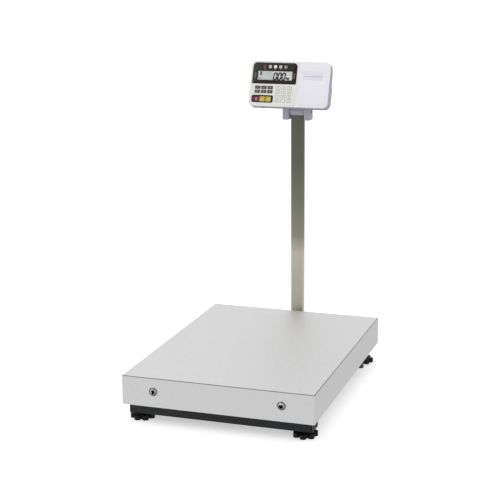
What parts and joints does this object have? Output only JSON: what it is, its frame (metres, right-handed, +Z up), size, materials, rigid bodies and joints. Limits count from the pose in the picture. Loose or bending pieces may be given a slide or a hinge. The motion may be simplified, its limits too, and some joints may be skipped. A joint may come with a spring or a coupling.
{
  "type": "bench scale",
  "caption": "Bench weighing scale: a folded sheet pan over a single-point load cell and tubular base on star-knob feet, with a tilting display, keypad and label printer head on a rear pole",
  "frame": {"origin": "on the floor under the middle of the whole object's box", "axes": "+Z up, -Y towards the operator, +X to the operator's right, pole at +Y"},
  "size_m": [0.6, 0.866, 1.0142],
  "materials": {
    "front_cross_tube": "satin powder coat on steel",
    "rear_cross_tube": "satin powder coat on steel",
    "base_beam": "satin powder coat on steel",
    "base_side_rails": "satin powder coat on steel",
    "tube_end_caps": "moulded nylon",
    "foot_lock_nuts": "bright zinc plate",
    "level_housing": "moulded plastic",
    "level_vial": "clear acrylic vial with green fluid",
    "load_cell": "machined aluminium",
    "cell_spacers": "plain steel plate",
    "load_cell_bolts": "bright zinc plate",
    "overload_stops": "bright zinc plate",
    "platform_beam": "satin powder coat on steel",
    "platform_arms": "satin powder coat on steel",
    "pan_pads": "moulded rubber",
    "pan": "brushed stainless sheet",
    "pan_screws": "polished stainless",
    "screw_cups": "polished stainless",
    "pole_bracket": "satin powder coat on steel",
    "bracket_bolts": "bright zinc plate",
    "pole": "brushed stainless tube",
    "pole_bolts": "bright zinc plate",
    "head_post": "fine-textured moulded plastic",
    "rear_housing": "fine-textured moulded plastic",
    "front_case": "smooth moulded plastic",
    "display_bezel": "printed polycarbonate",
    "display_window": "clear acrylic",
    "lcd_module": "liquid crystal glass",
    "status_lamps": "translucent polycarbonate",
    "number_pad": "printed polyester membrane",
    "key_frame": "printed polycarbonate",
    "main_board": "solder-masked laminate",
    "printer_frame": "glass-filled nylon",
    "feed_motor": "nickel-plated steel can",
    "print_head": "ceramic",
    "power_socket": "moulded plastic",
    "case_screws": "bright zinc plate",
    "cover_pin": "bright zinc plate",
    "tilt_bolt": "bright zinc plate",
    "tilt_nut": "bright zinc plate",
    "friction_washers": "acetal",
    "printer_cover": "smooth moulded plastic",
    "tear_bar": "stainless strip",
    "label_roll": "coated label paper",
    "platen_roller": "silicone rubber on a steel shaft",
    "platen_gear": "acetal",
    "motor_pinion": "machined brass",
    "foot_front_left": "moulded nylon",
    "foot_front_right": "moulded nylon",
    "foot_rear_left": "moulded nylon",
    "foot_rear_right": "moulded nylon",
    "key_power": "moulded plastic",
    "key_zero": "moulded plastic",
    "key_tare": "moulded plastic",
    "key_f1": "moulded plastic",
    "key_f2": "moulded plastic",
    "key_f3": "moulded plastic",
    "key_f4": "moulded plastic",
    "key_f5": "moulded plastic",
    "key_f6": "moulded plastic"
  },
  "bodies": {
    "stand": {"front_cross_tube": "front_cross_tube", "rear_cross_tube": "rear_cross_tube", "base_beam": "base_beam", "base_side_rails": "base_side_rails", "tube_end_caps": "tube_end_caps", "foot_lock_nuts": "foot_lock_nuts", "level_housing": "level_housing", "level_vial": "level_vial", "load_cell": "load_cell", "cell_spacers": "cell_spacers", "load_cell_bolts": "load_cell_bolts", "overload_stops": "overload_stops", "platform_beam": "platform_beam", "platform_arms": "platform_arms", "pan_pads": "pan_pads", "pan": "pan", "pan_screws": "pan_screws", "screw_cups": "screw_cups", "pole_bracket": "pole_bracket", "bracket_bolts": "bracket_bolts", "pole": "pole", "pole_bolts": "pole_bolts", "head_post": "head_post"},
    "head": {"rear_housing": "rear_housing", "front_case": "front_case", "display_bezel": "display_bezel", "display_window": "display_window", "lcd_module": "lcd_module", "status_lamps": "status_lamps", "number_pad": "number_pad", "key_frame": "key_frame", "main_board": "main_board", "printer_frame": "printer_frame", "feed_motor": "feed_motor", "print_head": "print_head", "power_socket": "power_socket", "case_screws": "case_screws", "cover_pin": "cover_pin", "tilt_bolt": "tilt_bolt", "tilt_nut": "tilt_nut", "friction_washers": "friction_washers"},
    "cover": {"printer_cover": "printer_cover", "tear_bar": "tear_bar"},
    "roll": {"label_roll": "label_roll"},
    "platen": {"platen_roller": "platen_roller", "platen_gear": "platen_gear"},
    "pinion": {"motor_pinion": "motor_pinion"},
    "foot_front_left": {"foot_front_left": "foot_front_left"},
    "foot_front_right": {"foot_front_right": "foot_front_right"},
    "foot_rear_left": {"foot_rear_left": "foot_rear_left"},
    "foot_rear_right": {"foot_rear_right": "foot_rear_right"},
    "key_power": {"key_power": "key_power"},
    "key_zero": {"key_zero": "key_zero"},
    "key_tare": {"key_tare": "key_tare"},
    "key_f1": {"key_f1": "key_f1"},
    "key_f2": {"key_f2": "key_f2"},
    "key_f3": {"key_f3": "key_f3"},
    "key_f4": {"key_f4": "key_f4"},
    "key_f5": {"key_f5": "key_f5"},
    "key_f6": {"key_f6": "key_f6"}
  },
  "joints": [
    {"name": "head_tilt", "type": "hinge", "parent": "stand", "child": "head", "pos_m": [0, 0.401, 0.846], "axis": [-1, 0, 0], "range_deg": [-20, 25]},
    {"name": "foot_front_left_screw", "type": "slide", "parent": "stand", "child": "foot_front_left", "axis": [0, 0, -1], "range_m": [0, 0.012]},
    {"name": "foot_front_right_screw", "type": "slide", "parent": "stand", "child": "foot_front_right", "axis": [0, 0, -1], "range_m": [0, 0.012]},
    {"name": "foot_rear_left_screw", "type": "slide", "parent": "stand", "child": "foot_rear_left", "axis": [0, 0, -1], "range_m": [0, 0.012]},
    {"name": "foot_rear_right_screw", "type": "slide", "parent": "stand", "child": "foot_rear_right", "axis": [0, 0, -1], "range_m": [0, 0.012]},
    {"name": "cover_hinge", "type": "hinge", "parent": "head", "child": "cover", "pos_m": [0.062, 0.34962, 0.87542], "axis": [1, 0, 0], "range_deg": [0, 85]},
    {"name": "platen_spin", "type": "hinge", "parent": "head", "child": "platen", "pos_m": [0.062, 0.39663, 0.95195], "axis": [1, 0, 0], "continuous": true},
    {"name": "roll_spin", "type": "hinge", "parent": "head", "child": "roll", "pos_m": [0.062, 0.38124, 0.89796], "axis": [1, 0, 0], "continuous": true},
    {"name": "pinion_spin", "type": "hinge", "parent": "head", "child": "pinion", "pos_m": [0.062, 0.39294, 0.94181], "axis": [1, 0, 0], "continuous": true},
    {"name": "key_power_press", "type": "slide", "parent": "head", "child": "key_power", "axis": [0, 0.9397, -0.342], "range_m": [0, 0.0008], "stiffness_N_per_m": 600},
    {"name": "key_zero_press", "type": "slide", "parent": "head", "child": "key_zero", "axis": [0, 0.9397, -0.342], "range_m": [0, 0.0008], "stiffness_N_per_m": 600},
    {"name": "key_tare_press", "type": "slide", "parent": "head", "child": "key_tare", "axis": [0, 0.9397, -0.342], "range_m": [0, 0.0008], "stiffness_N_per_m": 600},
    {"name": "key_f1_press", "type": "slide", "parent": "head", "child": "key_f1", "axis": [0, 0.9397, -0.342], "range_m": [0, 0.0008], "stiffness_N_per_m": 600},
    {"name": "key_f2_press", "type": "slide", "parent": "head", "child": "key_f2", "axis": [0, 0.9397, -0.342], "range_m": [0, 0.0008], "stiffness_N_per_m": 600},
    {"name": "key_f3_press", "type": "slide", "parent": "head", "child": "key_f3", "axis": [0, 0.9397, -0.342], "range_m": [0, 0.0008], "stiffness_N_per_m": 600},
    {"name": "key_f4_press", "type": "slide", "parent": "head", "child": "key_f4", "axis": [0, 0.9397, -0.342], "range_m": [0, 0.0008], "stiffness_N_per_m": 600},
    {"name": "key_f5_press", "type": "slide", "parent": "head", "child": "key_f5", "axis": [0, 0.9397, -0.342], "range_m": [0, 0.0008], "stiffness_N_per_m": 600},
    {"name": "key_f6_press", "type": "slide", "parent": "head", "child": "key_f6", "axis": [0, 0.9397, -0.342], "range_m": [0, 0.0008], "stiffness_N_per_m": 600}
  ],
  "couplings": [
    {"joint": "roll_spin", "follows": "platen_spin", "ratio": 0.27778},
    {"joint": "pinion_spin", "follows": "platen_spin", "ratio": -2}
  ]
}
